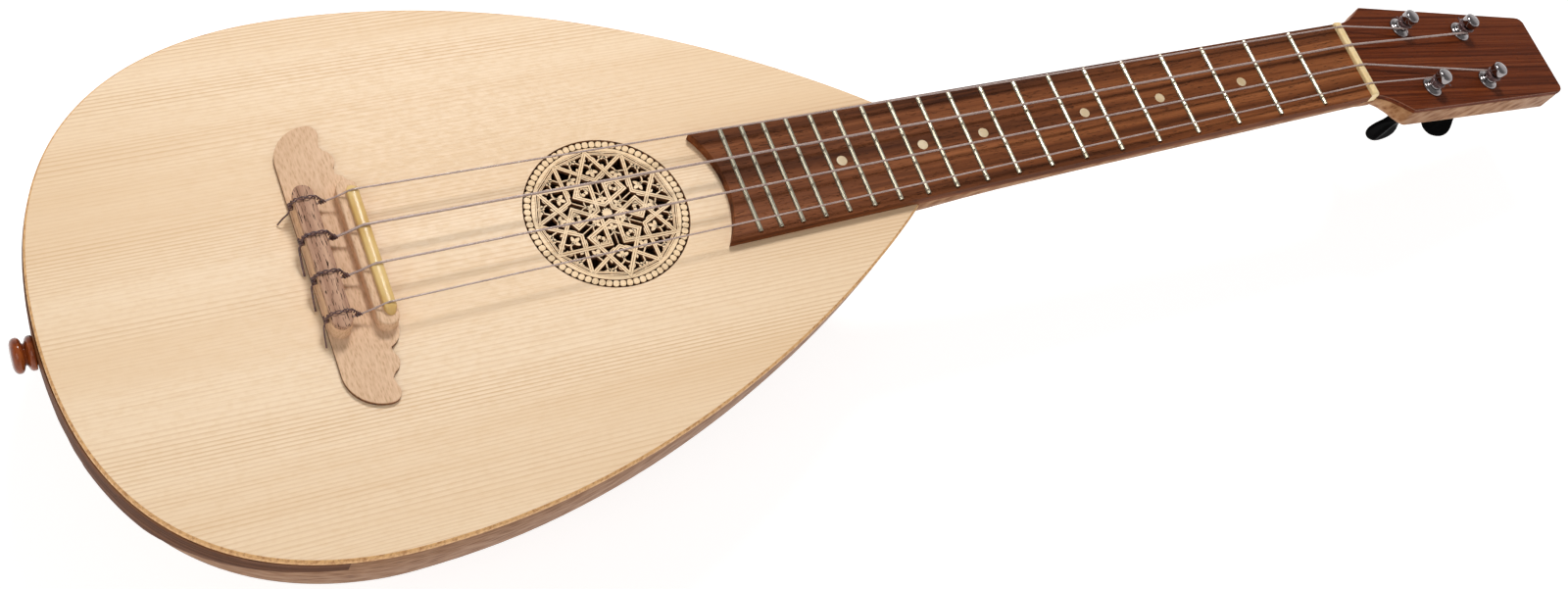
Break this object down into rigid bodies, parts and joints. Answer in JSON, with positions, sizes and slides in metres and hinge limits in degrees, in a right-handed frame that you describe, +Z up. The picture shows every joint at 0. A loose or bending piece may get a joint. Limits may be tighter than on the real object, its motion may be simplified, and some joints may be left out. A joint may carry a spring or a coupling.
{
  "type": "lute ukulele",
  "caption": "Tenor ukulele with a flat spruce top, pierced rosette and ribbed lute-style bowl back, strung over a tie bridge to friction pegs behind its headstock.",
  "frame": {"origin": "below the middle of the instrument's bounding box, at the height of the flat of the bowl's keel", "axes": "+X from the tail to the headstock, +Y across the body, +Z up out of the soundboard"},
  "size_m": [0.681, 0.2136, 0.0962],
  "materials": {
    "spruce_top": "satin lacquer over fine straight grain",
    "rosette_spruce": "pierced spruce with dark cut edges",
    "lacewood_ribs": "satin, flecked",
    "clasp_walnut": "satin, open grain",
    "inner_wood": "raw",
    "lacewood_neck": "satin, flecked",
    "walnut_veneer": "satin, fine dark grain",
    "walnut_board": "oiled, streaked",
    "bone_nut": "polished bone",
    "lacewood_bridge": "satin, flecked",
    "walnut_cap": "matt, open grain",
    "bone_saddle": "polished bone",
    "turned_endpin": "gloss",
    "fret_nickel": "polished nickel silver",
    "peg_chrome": "polished",
    "button_plastic": "gloss black",
    "nylon_string": "clear tinted"
  },
  "bodies": {
    "root": {"soundboard": "spruce_top", "rosette": "rosette_spruce", "rib_1": "lacewood_ribs", "rib_2": "lacewood_ribs", "rib_3": "lacewood_ribs", "rib_4": "lacewood_ribs", "rib_5": "lacewood_ribs", "rib_6": "lacewood_ribs", "rib_7": "lacewood_ribs", "rib_8": "lacewood_ribs", "rib_9": "lacewood_ribs", "tail_clasp": "clasp_walnut", "neck_block": "inner_wood", "tail_block": "inner_wood", "brace_1": "inner_wood", "brace_2": "inner_wood", "brace_3": "inner_wood", "neck": "lacewood_neck", "headstock_veneer": "walnut_veneer", "fingerboard": "walnut_board", "nut": "bone_nut", "fret_01": "fret_nickel", "fret_02": "fret_nickel", "fret_03": "fret_nickel", "fret_04": "fret_nickel", "fret_05": "fret_nickel", "fret_06": "fret_nickel", "fret_07": "fret_nickel", "fret_08": "fret_nickel", "fret_09": "fret_nickel", "fret_10": "fret_nickel", "fret_11": "fret_nickel", "fret_12": "fret_nickel", "fret_13": "fret_nickel", "fret_14": "fret_nickel", "fret_15": "fret_nickel", "fret_16": "fret_nickel", "fret_17": "fret_nickel", "fret_18": "fret_nickel", "fret_19": "fret_nickel", "bridge": "lacewood_bridge", "tie_block_cap": "walnut_cap", "saddle": "bone_saddle", "endpin": "turned_endpin", "string_g": "nylon_string", "string_c": "nylon_string", "string_e": "nylon_string", "string_a": "nylon_string", "peg_g_bushing": "peg_chrome", "peg_c_bushing": "peg_chrome", "peg_e_bushing": "peg_chrome", "peg_a_bushing": "peg_chrome"},
    "peg_g": {"peg_g_post": "peg_chrome", "peg_g_button": "button_plastic"},
    "peg_c": {"peg_c_post": "peg_chrome", "peg_c_button": "button_plastic"},
    "peg_e": {"peg_e_post": "peg_chrome", "peg_e_button": "button_plastic"},
    "peg_a": {"peg_a_post": "peg_chrome", "peg_a_button": "button_plastic"}
  },
  "joints": [
    {"name": "peg_g_turn", "type": "hinge", "parent": "root", "child": "peg_g", "pos_m": [0.25199, 0.01734, 0.0798], "axis": [0.2385, 0, 0.9711], "continuous": true},
    {"name": "peg_c_turn", "type": "hinge", "parent": "root", "child": "peg_c", "pos_m": [0.29123, 0.01484, 0.07016], "axis": [0.2385, 0, 0.9711], "continuous": true},
    {"name": "peg_e_turn", "type": "hinge", "parent": "root", "child": "peg_e", "pos_m": [0.29123, -0.01156, 0.07016], "axis": [0.2385, 0, 0.9711], "continuous": true},
    {"name": "peg_a_turn", "type": "hinge", "parent": "root", "child": "peg_a", "pos_m": [0.25199, -0.01406, 0.0798], "axis": [0.2385, 0, 0.9711], "continuous": true}
  ]
}
